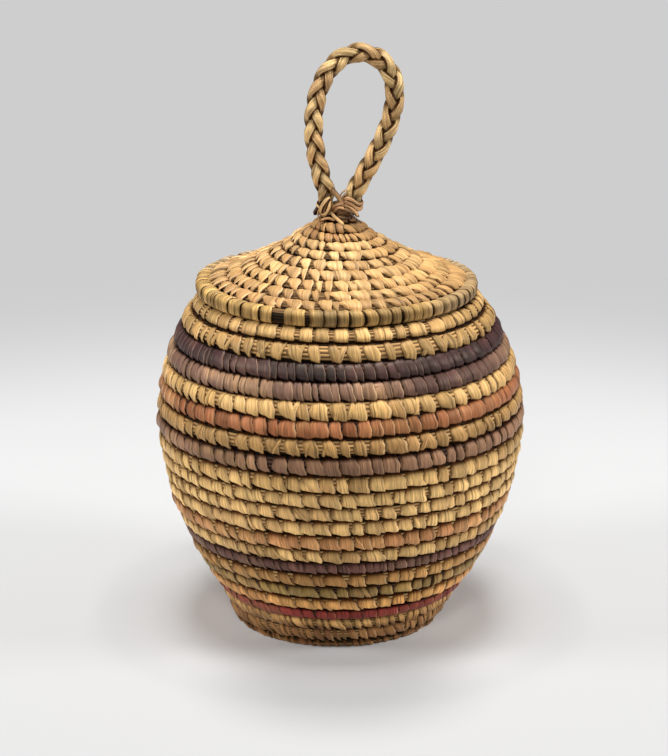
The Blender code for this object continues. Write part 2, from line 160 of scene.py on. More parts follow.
class Coil:
    """A coil along a profile; side is 1 where outside is right of the profile, -1 where it is left."""

    def __init__(self, profile, centres, widths, level_rounds, middle, side):
        self.profile, self.centres, self.widths = profile, centres, widths
        self.level_rounds, self.middle, self.side = level_rounds, middle, side
        self.last = len(centres) - 1

    def climb(self, number, share):
        """Share of the step to the next round that is done at this share of the turn."""
        apart = np.min([np.abs(number - level) for level in self.level_rounds], axis=0)
        spiral = np.minimum(1.0, RAMP_SHARE * apart)
        step = smooth((share - 1.0 + STEP_SHARE) / STEP_SHARE)
        return spiral * share + (1.0 - spiral) * step

    def between(self, number, share):
        """Distance and width on the way from one round to the next."""
        after = np.minimum(number + 1, self.last)
        climb = self.climb(number, share)
        return [each[number] + (each[after] - each[number]) * climb for each in (self.centres, self.widths)]

    def place(self, turn):
        """Distance along the profile and width of the coil at turns from its start."""
        number = np.clip(np.floor(turn), 0, self.last).astype(int)
        along, width = self.between(number, turn - number)
        below, thick = self.between(np.full_like(number, self.last - 1), turn - number)
        edge = below + thick / 2
        top = self.centres[self.last] + self.widths[self.last] / 2
        final = number == self.last
        width = np.where(final, np.maximum(top - edge, LEAST_WIDTH), width)
        return np.where(final, top - width / 2, along), width

    def frame(self, turn):
        """Middle, direction up the wall, direction outwards, width and radius at turns."""
        along, width = self.place(turn)
        distances, radii, heights = self.profile
        radius = np.interp(along, distances, radii)
        height = np.interp(along, distances, heights)
        reach = DIRECTION_REACH * width
        out = np.interp(along + reach, distances, radii) - np.interp(along - reach, distances, radii)
        rise = np.interp(along + reach, distances, heights) - np.interp(along - reach, distances, heights)
        size = np.hypot(out, rise)
        out, rise = self.side * out / size, self.side * rise / size
        angle = math.pi / 2 + 2 * math.pi * turn
        cos, sin = np.cos(angle), np.sin(angle)
        middle = np.stack((self.middle(height) + radius * cos, radius * sin, height), axis=-1)
        up = np.stack((out * cos, out * sin, rise), axis=-1)
        outward = np.stack((rise * cos, rise * sin, -out), axis=-1)
        return middle, up, outward, width, np.maximum(radius, LEAST_RADIUS)

    def radius(self, turn):
        """Radius just past a turn."""
        return float(self.frame(np.array([turn + JUST_PAST]))[4][0])


def wall_middle(height):
    """Sideways place of the wall's middle, off centre at the foot and at the mouth."""
    upper = fade(height, BELLY_HEIGHT, MOUTH_HEIGHT - BELLY_HEIGHT)
    return SIDE_OFFSET * (1 - smooth(height / SWAY_HEIGHT)) + MOUTH_OFFSET * upper


def lid_middle(height):
    """Sideways place of the lid's middle, the same at every height."""
    return np.full_like(height, SIDE_OFFSET)


# Making meshes


def curve(before, here, after, later, share):
    """Smooth curve between two of four points."""
    return 0.5 * (2 * here + (after - before) * share
                  + (2 * before - 5 * here + 4 * after - later) * share ** 2
                  + (3 * here - before - 3 * after + later) * share ** 3)


def closed_spline(points, count):
    """Evenly spread samples of a smooth closed curve through the points."""
    points = np.asarray(points, float)
    places = np.arange(count) * len(points) / count
    number = places.astype(int)
    around = [points[(number + step) % len(points)] for step in (-1, 0, 1, 2)]
    return curve(*around, (places - number)[:, None])


def open_spline(points, count):
    """Samples of a smooth curve from the first point to the last."""
    points = np.asarray(points, float)
    padded = np.concatenate((2 * points[:1] - points[1:2], points, 2 * points[-1:] - points[-2:-1]))
    places = np.linspace(0, len(points) - 1, count)
    number = np.minimum(places.astype(int), len(points) - 2)
    around = [padded[number + step] for step in (0, 1, 2, 3)]
    return curve(*around, (places - number)[:, None])


def strip_mesh(name, places, closed_along, grain, tint, material, body):
    """A mesh from a stack of tubes shaped [number, along, around, 3], with its grain and tint."""
    number, along, around = places.shape[:3]
    index = np.arange(number * along * around).reshape(number, along, around)
    rows = index if closed_along else index[:, :-1]
    next_rows = np.roll(index, -1, axis=1) if closed_along else index[:, 1:]
    quads = np.stack((rows, np.roll(rows, -1, axis=2), np.roll(next_rows, -1, axis=2), next_rows), axis=-1)
    faces = quads.reshape(-1, 4).tolist()
    if not closed_along:
        faces += index[:, 0, ::-1].tolist()
        faces += index[:, -1].tolist()
    mesh = bpy.data.meshes.new(name)
    mesh.from_pydata(places.reshape(-1, 3).tolist(), [], faces)
    mesh.shade_smooth()
    for title, values, kind, channel in (("grain", grain, "FLOAT_VECTOR", "vector"),
                                         ("tint", tint, "FLOAT_COLOR", "color")):
        layer = mesh.attributes.new(title, kind, "POINT")
        layer.data.foreach_set(channel, values.astype(np.float32).ravel())
    mesh.materials.append(material)
    piece = placed(name, mesh)
    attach(piece, body)
    return piece


# A stitch, from the top of its bundle, down the outside, over the groove, through the round below
# and back up the inside: shares of half a width up the wall and out of it, place along the coil in
# pitches, and share of the stitch's own width
LOOP = (
    (1.00, -0.20, -0.16, 0.50),
    (1.00, 0.18, -0.15, 0.58),
    (0.90, 0.50, -0.12, 0.72),
    (0.58, 0.81, -0.07, 0.88),
    (0.10, 0.97, -0.01, 0.98),
    (-0.38, 1.00, 0.05, 1.04),
    (-0.78, 0.91, 0.10, 1.08),
    (-1.02, 0.60, 0.14, 1.06),
    (-1.07, 0.16, 0.17, 0.90),
    (-1.03, -0.22, 0.17, 0.60),
    (-0.90, -0.60, 0.12, 0.72),
    (-0.50, -0.88, 0.04, 0.92),
    (0.10, -0.97, -0.03, 1.00),
    (0.62, -0.76, -0.08, 1.00),
    (0.92, -0.48, -0.12, 0.78),
)
LOOP_STEPS = 28

# Cross-sections of a stitch: share of half its width, shares of its thickness for one that
# overlaps the next like a shingle and for an even one
BLADE = np.array((
    (-1.00, -0.10, 0.05),
    (-0.94, 0.30, 0.66),
    (-0.70, 0.56, 0.92),
    (-0.20, 0.80, 1.00),
    (0.30, 0.98, 1.00),
    (0.72, 1.06, 0.92),
    (0.94, 1.04, 0.66),
    (1.00, 0.45, 0.05),
    (0.84, -0.35, -0.35),
    (-0.72, -0.40, -0.35),
))


# Longest step from stitch to stitch in turns, where the coil is tight
LONGEST_STITCH = 1 / 6
# Standard deviations: shares of the style's value, but for lean, place, tilt and rise, which add to it
SCATTER = {"slant": 0.35, "lean": 0.12, "tip": 0.4, "skew": 0.35, "point": 0.2, "puff": 0.2,
           "place": 0.05, "tilt": 0.14, "rise": 0.02}
SCATTER_LIMIT = 2
SHARE_LIMITS, POINT_LIMITS, PUFF_LIMITS, WIDTH_LIMITS = (0.2, 1.3), (0.5, 1.5), (0.5, 1.6), (0.15, 1.2)
# Thickness of the part inside the basket, as a share of the outside's
INNER_PUFF = 0.45
# Waves over half a stitch's width: least and how many more; waves of its ragged edges, along and across
RIDGES, MORE_RIDGES = 4, 3
RAGGED, RAGGED_ALONG, RAGGED_ACROSS = 0.07, 5, 2
# Range of the random phases and of the seeds that shift the grain; pi as the grain's scale was set with
PHASES, GRAIN_SEEDS, GRAIN_PI = 6.3, 9, 3.14

# Where a part of a stitch starts and over how much it grows, in half widths: out of the wall, down
# from the middle, and to the left and right, where the edges get a painted highlight and the sides painted
# shade
OUTSIDE, FOOT = (-0.1, 0.5), (0.15, 0.75)
LEFT_EDGE, RIGHT_EDGE = (0.84, 0.08), (0.74, 0.12)
LEFT_SHADED_SIDE, RIGHT_SHADED_SIDE = (0.45, 0.45), (0.88, 0.12)
# The like for what spans the stitch, downwards from its top and upwards from its foot: the painted
# highlight, the painted shade in the grooves, and the painted shade on a top covered by the round above
EDGE_FROM_TOP, EDGE_FROM_FOOT = (-0.70, 0.4), (-0.95, 0.2)
GROOVE_FROM_TOP, GROOVE_FROM_FOOT = (-0.97, 0.46), (-1.10, 0.22)
TUCKED = (-0.45, 1.25)
# How pale the painted highlight on the left edge is against the right one, and how dark the painted
# shade on the sides is
LEFT_PALE, LEFT_SIDE_SHADE, RIGHT_SIDE_SHADE = 0.5, 0.6, 0.25

# Heights between which each round overhangs the one below it, over what height that sets in and
# ends, and how dark the painted shade on the covered top is
OVERHUNG = (0.018, 0.094)
OVERHUNG_FOOT, OVERHUNG_TOP = 0.008, 0.010
OVERHANG_SHADE = 0.46
# The lowest that anything reaches, just over the floor
GROUND = 0.0002


def stitch_turns(coil, first, last, pitch, jitter):
    """Turns at which stitches are sewn, with uneven steps."""
    turns, turn = [], first
    while turn < last:
        step = min(pitch / (2 * math.pi * coil.radius(turn)), LONGEST_STITCH)
        step *= 1 + jitter * float(RNG.uniform(-1, 1))
        turns.append((turn + step / 2, step))
        turn += step
    return np.array(turns)


def stitch_tint(style, up, across, outside, height, seeds):
    """Tone, hue, painted highlight on the edges and painted shade over each stitch."""
    # Pale edges: a painted highlight
    edges = np.maximum(fade(across, *RIGHT_EDGE), LEFT_PALE * fade(-across, *LEFT_EDGE))
    pale = edges * fade(-up, *EDGE_FROM_TOP) * fade(up, *EDGE_FROM_FOOT) * outside
    # Painted shade on the sides, in the grooves and on tops covered by the round above
    side_shade = LEFT_SIDE_SHADE * fade(-across, *LEFT_SHADED_SIDE) + RIGHT_SIDE_SHADE * fade(across, *RIGHT_SHADED_SIDE)
    top_groove = 1 - style["cover"] * (1 - fade(-up, *GROOVE_FROM_TOP))
    groove = top_groove * fade(up, *GROOVE_FROM_FOOT)
    below = fade(-height, -OVERHUNG[1], OVERHUNG_TOP) * fade(height, OVERHUNG[0], OVERHUNG_FOOT)
    covered_shade = OVERHANG_SHADE * below * fade(up, *TUCKED)
    shade = (1 - style["dirt"] * (1 - groove)) * (1 - side_shade) * (1 - covered_shade)
    return stacked(height.shape, seeds[:, 1, None, None], seeds[:, 2, None, None], pale, shade)


def make_stitches(coil, first, last, style):
    """Points and attributes of the stitches from one turn to another."""
    found = stitch_turns(coil, first, last, style["pitch"], style["jitter"])
    if style["keep"] < 1.0:
        found = found[RNG.random(len(found)) < style["keep"]]
    count = len(found)
    turn, step = found[:, 0, None, None], found[:, 1, None, None]
    loop = closed_spline(LOOP, LOOP_STEPS)
    up, out, shift, narrow = (loop[None, :, None, column] for column in range(4))
    outside = fade(out, *OUTSIDE)
    low = fade(-up, *FOOT) * outside
    scatter = {**SCATTER, "share": style["uneven"]}

    def spread(name):
        return scatter[name] * RNG.standard_normal((count, 1, 1)).clip(-SCATTER_LIMIT, SCATTER_LIMIT)

    def varied(name):
        return style[name] * (1 + spread(name))

    def phase():
        return PHASES * RNG.random((count, 1, 1))

    share = varied("share").clip(*SHARE_LIMITS)
    slant = varied("slant") + spread("lean")
    reach, skew = varied("tip"), varied("skew")
    point = 1 - (1 - narrow) * style["point"] * (1 + spread("point")).clip(*POINT_LIMITS)
    across = BLADE[None, None, :, 0]
    lift = BLADE[None, None, :, 1] * style["shingle"] + BLADE[None, None, :, 2] * (1 - style["shingle"])
    wave = across * (RIDGES + MORE_RIDGES * RNG.random((count, 1, 1))) + phase()
    ridge = 1 + style["ridge"] * np.sin(wave)
    puff = style["puff"] * (1 + spread("puff")).clip(*PUFF_LIMITS)
    narrow_toe = 1 - style["toe"] * low
    ragged = 1 + RAGGED * np.sin(up * RAGGED_ALONG + across * RAGGED_ACROSS + phase())
    side = shift * slant + spread("place")
    side = side + across * 0.5 * share * point.clip(*WIDTH_LIMITS) * narrow_toe * ragged
    middle, up_wall, outward, width, radius = coil.frame(turn + step * side)
    half = (width / 2)[..., None]
    tangent = np.roll(loop[:, :2], -1, axis=0) - np.roll(loop[:, :2], 1, axis=0)
    normal = np.stack((tangent[:, 1], -tangent[:, 0]), axis=1)
    normal = unit(normal * np.sign((normal * loop[:, :2]).sum(1))[:, None])
    height = puff * (lift + spread("tilt") * across) * ridge
    height = height * (INNER_PUFF + (1 - INNER_PUFF) * outside)
    up_share = up * style["body"] - low * (reach + skew * across) + spread("rise")
    out_share = out * style["body"]
    rise = half * up_share[..., None] + (height * normal[None, :, None, 0])[..., None]
    proud = half * out_share[..., None] + (height * normal[None, :, None, 1])[..., None]
    points = middle + up_wall * rise + outward * proud
    seeds = RNG.random((count, 4))
    run = np.linspace(0, 1, LOOP_STEPS, endpoint=False)[None, :, None]
    grain = stacked(side.shape, across * share * step * radius * GRAIN_PI,
                    run * half[..., 0] * 2 * GRAIN_PI, seeds[:, 0, None, None] * GRAIN_SEEDS)
    return points, grain, stitch_tint(style, up, across, outside, middle[..., 2], seeds)


def sewn_piece(name, coil, rounds, first, end, material, body):
    """The stitches of one stretch of a coil; each round has its own way of sewing."""
    stacks = []
    for number, styles in enumerate(rounds):
        start = max(first, math.floor(first) + number)
        stop = min(math.floor(first) + number + 1, end)
        for style in styles:
            stacks.append(make_stitches(coil, start, stop, style))
    points, grain, tint = (np.concatenate(group) for group in zip(*stacks))
    points[..., 2] = np.maximum(points[..., 2], GROUND)
    return strip_mesh(name, points, True, grain, tint, material, body)


# Sides, and stems as waves around the bundle; steps along it in metres and at most in turns
BUNDLE_SIDES, BUNDLE_STEMS = 42, 14
BUNDLE_STEP, LONGEST_BUNDLE_STEP = 0.0035, 1 / 12
# Width and height of the bundle, as shares of the round's
BUNDLE = (0.82, 1.02)
RIM_BUNDLE = (0.76, 0.80)
# Along the last turn no round covers the bundle, so its upper half stays inside the stitches
OPEN_HEIGHT = 0.78
OPEN_REACH = 0.03
# How the stems wander around the bundle: swing in radians, waves and phase
STEM_WANDER = ((0.35, 90, 0), (0.2, 37, 1))
STEM_DEPTH = 0.055
LUMP_DEPTH, LUMPS, LUMP_WAVES = 0.02, 5, 60
# How far from its top and bottom the bundle darkens with painted shade, where it meets the rounds
BUNDLE_EDGE_SHADE = (-0.85, 0.4)


def bundle_piece(name, coil, first, end, covered_to, material, body, size):
    """The bundle of grass stems inside the stitches."""
    wide, high = size
    steps, turn = [], first
    while turn < end:
        steps.append(turn)
        turn += min(BUNDLE_STEP / (2 * math.pi * coil.radius(turn)), LONGEST_BUNDLE_STEP)
    turns = np.array(steps + [end])
    middle, up_wall, outward, width, radius = coil.frame(turns)
    angle = np.linspace(0, 2 * math.pi, BUNDLE_SIDES, endpoint=False)[None, :]
    run = (turns * 2 * math.pi * radius)[:, None]
    wander = sum(swing * np.sin(run * waves + phase) for swing, waves, phase in STEM_WANDER)
    stem = np.cos(BUNDLE_STEMS * angle + wander)
    lobes = 1 + STEM_DEPTH * stem + LUMP_DEPTH * np.sin(LUMPS * angle + run * LUMP_WAVES)
    reach = (width / 2 * wide)[:, None] * lobes
    uncovered = fade(turns, covered_to, OPEN_REACH)[:, None] * (np.cos(angle) > 0)
    tall = (width / 2)[:, None] * lobes * (high - max(high - OPEN_HEIGHT, 0.0) * uncovered)
    points = (middle[:, None] + up_wall[:, None] * (tall * np.cos(angle))[..., None]
              + outward[:, None] * (reach * np.sin(angle))[..., None])[None]
    points[..., 2] = np.maximum(points[..., 2], GROUND)
    grain = stacked(tall.shape, angle * width[:, None] / 2, run, 0.0)
    # Tint: stem waves for the painted shade between stems, and painted shade towards the top and bottom
    tint = stacked(tall.shape, 0.5 + 0.5 * stem, fade(-np.abs(np.cos(angle)), *BUNDLE_EDGE_SHADE), 0.0, 0.0)
    return strip_mesh(name, points, False, grain[None], tint[None], material, body)


# Materials


class Nodes:
    """A short way to build the nodes of a material or the world."""

    def __init__(self, owner):
        owner.use_nodes = True
        self.owner = owner
        self.tree = owner.node_tree
        self.shader = self.tree.nodes.get("Principled BSDF")

    def put(self, socket, value):
        """Set a socket to a number or colour, or link it to another socket."""
        if isinstance(value, bpy.types.NodeSocket):
            self.tree.links.new(value, socket)
        elif isinstance(value, tuple) and socket.type == "RGBA":
            socket.default_value = (*value, 1.0)
        else:
            socket.default_value = value

    def look(self, name, value):
        """Set or link one of the shader's inputs."""
        self.put(self.shader.inputs[name], value)

    def new(self, kind, inputs=(), **settings):
        """A new node of a kind, with pairs of inputs and what they are set or linked to."""
        node = self.tree.nodes.new("ShaderNode" + kind)
        for name, value in settings.items():
            setattr(node, name, value)
        for name, value in inputs:
            self.put(node.inputs[name], value)
        return node

    def grain_and_tint(self):
        """The mesh attributes' grain vector, three tint channels and shade."""
        grain, tint = (self.new("Attribute", attribute_name=name).outputs for name in ("grain", "tint"))
        channels = self.new("SeparateColor", ((0, tint["Color"]),)).outputs
        return grain["Vector"], *channels, tint["Alpha"]

    def noise(self, vector, scale, detail, roughness):
        """Noise from 0 to 1 over a vector."""
        place = self.new("Mapping", (("Vector", vector), ("Scale", scale))).outputs[0]
        inputs = (("Vector", place), ("Scale", 1.0), ("Detail", detail), ("Roughness", roughness))
        return self.new("TexNoise", inputs).outputs["Fac"]

    def ramp(self, value, low, high, low_out=0.0, high_out=1.0):
        """Map a value smoothly from one range to another."""
        inputs = (("Value", value), ("From Min", low), ("From Max", high), ("To Min", low_out),
                  ("To Max", high_out))
        return self.new("MapRange", inputs, interpolation_type="SMOOTHSTEP").outputs["Result"]

    def math(self, operation, *values):
        """One step of arithmetic."""
        return self.new("Math", enumerate(values), operation=operation).outputs[0]

    def times(self, first, second):
        """Two levels multiplied."""
        return self.math("MULTIPLY", first, second)

    def mix(self, share, first, second, blend="MIX"):
        """Mix two colours."""
        inputs = ((0, share), (6, first), (7, second))
        return self.new("Mix", inputs, data_type="RGBA", blend_type=blend).outputs[2]

    def bump(self, height, strength, distance):
        """Small relief."""
        inputs = (("Strength", strength), ("Distance", distance), ("Height", height))
        return self.new("Bump", inputs).outputs["Normal"]

    def distance(self, place, centre):
        """Distance of a place from a centre."""
        return self.new("VectorMath", ((0, place), (1, centre)), operation="DISTANCE").outputs["Value"]

    def grey(self, level):
        """A grey colour from a level."""
        return self.new("CombineColor", enumerate((level,) * 3)).outputs[0]


# Colour that the painted shade in grooves and gaps darkens towards
PAINTED_SHADE = (0.10, 0.055, 0.038)
# Colour of the painted highlight on the pale edges of stitches and blades
EDGE_HIGHLIGHT = (0.90, 0.64, 0.34)
# Noise: scales across a strand, along it and by its seed, or by place; detail and roughness
STREAKS, FIBRES = ((1500.0, 90.0, 3.0), 3.0, 0.6), ((4200.0, 160.0, 5.0), 2.0, 0.5)
SLITS, PATCHES = ((820.0, 26.0, 4.0), 1.0, 0.5), ((38.0, 38.0, 60.0), 2.0, 0.5)
STEM_STREAKS = ((1600.0, 45.0, 1.0), 3.0, 0.6)
# Ramps: from and to, then the levels there
HUE_MIX, TONE_LEVEL = (0.25, 1.0, 0.0, 0.9), (0.0, 1.0, 0.80, 1.18)
STREAK_LEVEL, FIBRE_LEVEL = (0.30, 0.72, 0.60, 1.22), (0.25, 0.75, 0.84, 1.10)
SLIT_LEVEL = (0.30, 0.37, 0.50, 1.0)
FADED_PATCH, HIGHLIGHT_PATCH, SHADE_RANGE = (0.48, 0.68), (0.40, 0.60), (0.05, 0.95)
GRASS_ROUGHNESS, GRASS_SHINE = (0.2, 0.8, 0.56, 0.42), (0.25, 0.95, 0.04)
# Stem ramps: painted shade in the gaps between the stems, tone along them, and painted shade towards the
# bundle's top and bottom
STEM_GAP_SHADE, STEM_TONE, STEM_EDGE_SHADE = (0.0, 0.8, 0.12, 1.45), (0.3, 0.7, 0.7, 1.15), (0.0, 1.0, 0.08, 1.0)
# Least share of the painted highlight on the pale edges, a zone's raggedness and its soft edge as shares
# of its reach
LEAST_HIGHLIGHT, ZONE_RAGGED, ZONE_EDGE = 0.25, 0.5, (0.6, 1.4)
# Relief: strength and distance, and the fibres' share in it
GRASS_RELIEF, STEM_RELIEF, FIBRE_RELIEF = (0.55, 0.00024), (0.5, 0.0003), 0.4
SHINE_TINT, SHEEN, SHEEN_ROUGHNESS = (1.0, 0.84, 0.66), 0.02, 0.4
STEM_ROUGHNESS, STEM_SHINE = 0.7, 0.08


def grass(name, main, other, faded, fade_share=0.3, zones=(), edge=0.6, edge_highlight=EDGE_HIGHLIGHT, shine=0.34):
    """Split grass: lengthwise streaks, stitches of uneven tone, painted shade in the gaps and painted
    highlights on the pale edges.
    """
    nodes = Nodes(bpy.data.materials.new(name))
    grain, tone, hue, pale, shade = nodes.grain_and_tint()
    place = nodes.new("TexCoord").outputs["Object"]
    streaks, fibres, slits = (nodes.noise(grain, *scales) for scales in (STREAKS, FIBRES, SLITS))
    patches = nodes.noise(place, *PATCHES)
    colour = nodes.mix(nodes.ramp(hue, *HUE_MIX), main, other)
    for axis, centre, reach, zone_colour, strength in zones:
        along = nodes.new("SeparateXYZ", ((0, place),)).outputs[axis]
        off = nodes.math("ABSOLUTE", nodes.math("SUBTRACT", along, centre))
        ragged = nodes.math("ADD", off, nodes.times(hue, reach * ZONE_RAGGED))
        near, far = (reach * share for share in ZONE_EDGE)
        colour = nodes.mix(nodes.ramp(ragged, near, far, strength, 0.0), colour, zone_colour)
    fading = nodes.times(nodes.ramp(patches, *FADED_PATCH), fade_share * 2)
    colour = nodes.mix(nodes.math("MINIMUM", fading, 1.0), colour, faded)
    # Painted highlight on the pale edges, broken up by patches
    highlit = nodes.times(pale, nodes.ramp(patches, *HIGHLIGHT_PATCH, LEAST_HIGHLIGHT * edge, edge))
    colour = nodes.mix(highlit, colour, edge_highlight)
    level = nodes.times(nodes.ramp(streaks, *STREAK_LEVEL), nodes.ramp(tone, *TONE_LEVEL))
    level = nodes.times(level, nodes.ramp(fibres, *FIBRE_LEVEL))
    level = nodes.times(level, nodes.ramp(slits, *SLIT_LEVEL))
    colour = nodes.mix(1.0, colour, nodes.grey(level), "MULTIPLY")
    # Painted shade from the shade attribute: grooves, gaps, shaded sides and covered tops
    dirty = nodes.mix(nodes.ramp(shade, *SHADE_RANGE), PAINTED_SHADE, (1.0, 1.0, 1.0))
    colour = nodes.mix(1.0, colour, dirty, "MULTIPLY")
    nodes.look("Base Color", colour)
    nodes.look("Roughness", nodes.ramp(streaks, *GRASS_ROUGHNESS))
    relief = nodes.math("ADD", streaks, nodes.times(fibres, FIBRE_RELIEF))
    nodes.look("Normal", nodes.bump(relief, *GRASS_RELIEF))
    # The shine fades where the painted shade lies
    nodes.look("Specular IOR Level", nodes.ramp(shade, *GRASS_SHINE, shine))
    nodes.look("Specular Tint", SHINE_TINT)
    nodes.look("Sheen Weight", SHEEN)
    nodes.look("Sheen Roughness", SHEEN_ROUGHNESS)
    return nodes.owner


def stems(name, colour):
    """The bundle's stems: thin dry stalks, with painted shade in the gaps between them and towards the
    bundle's top and bottom.
    """
    nodes = Nodes(bpy.data.materials.new(name))
    grain, ridge, side, _, _ = nodes.grain_and_tint()
    streaks = nodes.noise(grain, *STEM_STREAKS)
    # Painted shade between the stems and towards the bundle's top and bottom
    shade = nodes.times(nodes.ramp(ridge, *STEM_GAP_SHADE), nodes.ramp(streaks, *STEM_TONE))
    shade = nodes.times(shade, nodes.ramp(side, *STEM_EDGE_SHADE))
    nodes.look("Base Color", nodes.mix(1.0, colour, nodes.grey(shade), "MULTIPLY"))
    nodes.look("Roughness", STEM_ROUGHNESS)
    nodes.look("Specular IOR Level", STEM_SHINE)
    nodes.look("Normal", nodes.bump(streaks, *STEM_RELIEF))
    return nodes.owner


# The usual way of sewing. pitch and puff, the thickness, are in metres, share, the width, and slant in
# pitches, and tip, skew and body, the size of the loop, in half widths of the round. point and toe
# narrow a stitch at its ends and its foot, shingle laps it over the next and ridge waves its surface.
# uneven and jitter scatter widths and places, keep is the share that is sewn, and the last two set the
# painted shade: how strongly it darkens the grooves, and how much of it falls in the groove above a stitch
USUAL = dict(pitch=0.0068, share=0.98, slant=0.50, tip=0.0, skew=0.15, point=1.0, puff=0.0007, toe=0.0,
             shingle=0.55, body=0.845, uneven=0.12, ridge=0.26, keep=1.0, jitter=0.28, dirt=1.25, cover=1.0)


def style(**changes):
    """The usual way of sewing with some changes."""
    return {**USUAL, **changes}


STRAY = style(share=0.15, slant=1.5, skew=0.0, point=0.4, puff=0.0008, keep=0.22, uneven=0.3, jitter=0.5)
SCALES = [style(), STRAY]
BLOCKS = [style(pitch=0.0078, share=0.82, slant=0.12, skew=0.02, point=0.22, puff=0.0004, uneven=0.22,
                dirt=2.2, cover=0.25)]
VEES = [style(pitch=0.0070, share=0.74, slant=0.75, skew=0.14, point=0.8, toe=0.22, uneven=0.2),
        style(pitch=0.0070, share=0.28, slant=-1.3, skew=0.0, point=0.4, puff=0.0006, keep=0.7)]
TIGHT = [style(pitch=0.0056, share=1.04, slant=0.6, skew=0.08, point=0.7)]
SMOOTH = [style(pitch=0.0039, share=1.06, slant=1.0, skew=0.10, point=0.6, puff=0.0006, ridge=0.3,
                jitter=0.4)]
FINE = [style(pitch=0.0035, share=1.02, slant=0.9, skew=0.10, point=0.8, puff=0.0005)]
FEATHERS = [style(pitch=0.0036, share=0.84, slant=2.0, tip=0.06, skew=0.16, point=0.5, puff=0.0007,
                  uneven=0.25, jitter=0.4, dirt=0.55)]
SMALL = [style(pitch=0.0060, share=0.98, slant=0.7, skew=0.10, point=0.9, puff=0.0006), STRAY]
SPLIT = [style(pitch=0.0066, share=0.94, slant=0.8, skew=0.14, toe=0.12),
         style(pitch=0.0066, share=0.24, slant=-1.0, skew=0.0, point=0.4, puff=0.0007, keep=0.45)]
RED_SEWING = [style(pitch=0.0046, share=1.04, slant=0.6, skew=0.04, point=0.6, puff=0.0005)]
COLLAR_SEWING = [style(pitch=0.0056, share=1.0, slant=0.5, tip=-0.08, skew=0.05, puff=0.00025, body=0.86)]

# The wall from its foot to its mouth: node, widths of its rounds, their ways of sewing and its slot
WALL = (
    ("foot_coil", (0.0057, 0.0055), (FEATHERS,) * 2, "brown_grass"),
    ("red_band", (0.0060,), (RED_SEWING,), "red_grass"),
    ("gold_band", (0.0070,), (SMALL,), "gold_grass"),
    ("olive_band", (0.0066,), (SMALL,), "olive_grass"),
    ("tan_band", (0.0070,), (SCALES,), "tan_grass"),
    ("mauve_band", (0.0066,), (FINE,), "mauve_grass"),
    ("lower_straw_coil", (0.0056,), (SCALES,), "straw_grass"),
    ("pink_band", (0.0072,), (SCALES,), "pink_grass"),
    ("belly_coil", (0.0066, 0.0062, 0.0058, 0.0066), (SCALES,) * 4, "straw_grass"),
    ("slate_band", (0.0074,), (TIGHT,), "slate_grass"),
    ("middle_straw_coil", (0.0070,), (SPLIT,), "straw_grass"),
    ("rust_band", (0.0070,), (TIGHT,), "rust_grass"),
    ("upper_straw_coil", (0.0076,), (SPLIT,), "straw_grass"),
    ("pale_plum_band", (0.0082,), (SMOOTH,), "pale_plum_grass"),
    ("plum_band", (0.0082,), (SMOOTH,), "plum_grass"),
    ("mouth_coil", (0.0077, 0.0073), (VEES, BLOCKS), "straw_grass"),
)
EDGE_ROUND_WIDTH = 0.0048

LID_STITCH = [style(pitch=0.0051, share=1.10, slant=1.0, skew=0.34, puff=0.0009, point=0.5, toe=0.28,
                    dirt=1.6, uneven=0.2, jitter=0.4)]
PALE_STITCH = [style(pitch=0.0056, share=1.02, slant=0.6, skew=0.26, point=0.7, puff=0.0007, uneven=0.2,
                     toe=0.30, dirt=1.6)]
RIM_STITCH = [style(pitch=0.0044, share=0.93, slant=0.8, tip=-0.10, skew=0.0, point=0.10, puff=0.00050,
                    body=0.89, shingle=0.6, keep=0.98, dirt=0.4, jitter=0.45, uneven=0.05)]
CROWN_STITCH = [style(pitch=0.0026, share=0.98, slant=1.8, skew=0.16, point=0.7, jitter=0.4, toe=0.2)]
# The lid from its crown to its rim, in the same order
LID = (
    ("lid_crown", (0.0061, 0.0057, 0.0051), (CROWN_STITCH,) * 3, "brown_grass"),
    ("lid_upper_cone", (0.0045, 0.0048, 0.0058, 0.0066), (LID_STITCH, PALE_STITCH, PALE_STITCH, LID_STITCH),
     "pale_straw_grass"),
    ("lid_lower_cone", (0.0072, 0.0072, 0.0075), (LID_STITCH,) * 3, "straw_grass"),
    ("lid_rim", (0.0076,), (RIM_STITCH,), "gold_grass"),
)

# Stretches of a row that are lighter or darker: axis, middle, half width, colour and strength
# Painted shade: darkens the straw round just under the mouth's top round
TOP_ROW_SHADE = (2, 0.1325, 0.0044, (0.43, 0.256, 0.090), 0.92)
# Painted shade: darkens the narrow middle straw round
UPPER_ROW_SHADE = (2, 0.0960, 0.0068, (0.43, 0.236, 0.078), 0.9)
BELLY_ROWS = (2, 0.0640, 0.0200, (1.0, 0.64, 0.245), 0.95)
# Painted shade: darkens the lid's rounds nearest the rim
LID_EDGE_SHADE = (2, 0.1456, 0.0042, (0.46, 0.26, 0.10), 0.9)
# Painted light: lightens the foot's top round against the shade of the red round above
FOOT_TOP_ROW_LIGHT = (2, 0.0138, 0.0030, (0.84, 0.48, 0.165), 0.9)
PALE_PLUM_RIGHT = (0, 0.042, 0.020, (0.085, 0.036, 0.032), 0.85)
PLUM_MIDDLE = ((0, -0.010, 0.014, (0.012, 0.006, 0.007), 0.85),
               (0, 0.016, 0.010, (0.085, 0.037, 0.034), 0.6))
RIM_STAINS = ((0, -0.004, 0.011, (0.22, 0.145, 0.062), 0.8), (0, 0.020, 0.010, (0.36, 0.22, 0.085), 0.6),
              (0, 0.050, 0.020, (0.38, 0.26, 0.14), 0.7), (1, 0.045, 0.040, (0.42, 0.31, 0.19), 0.9))

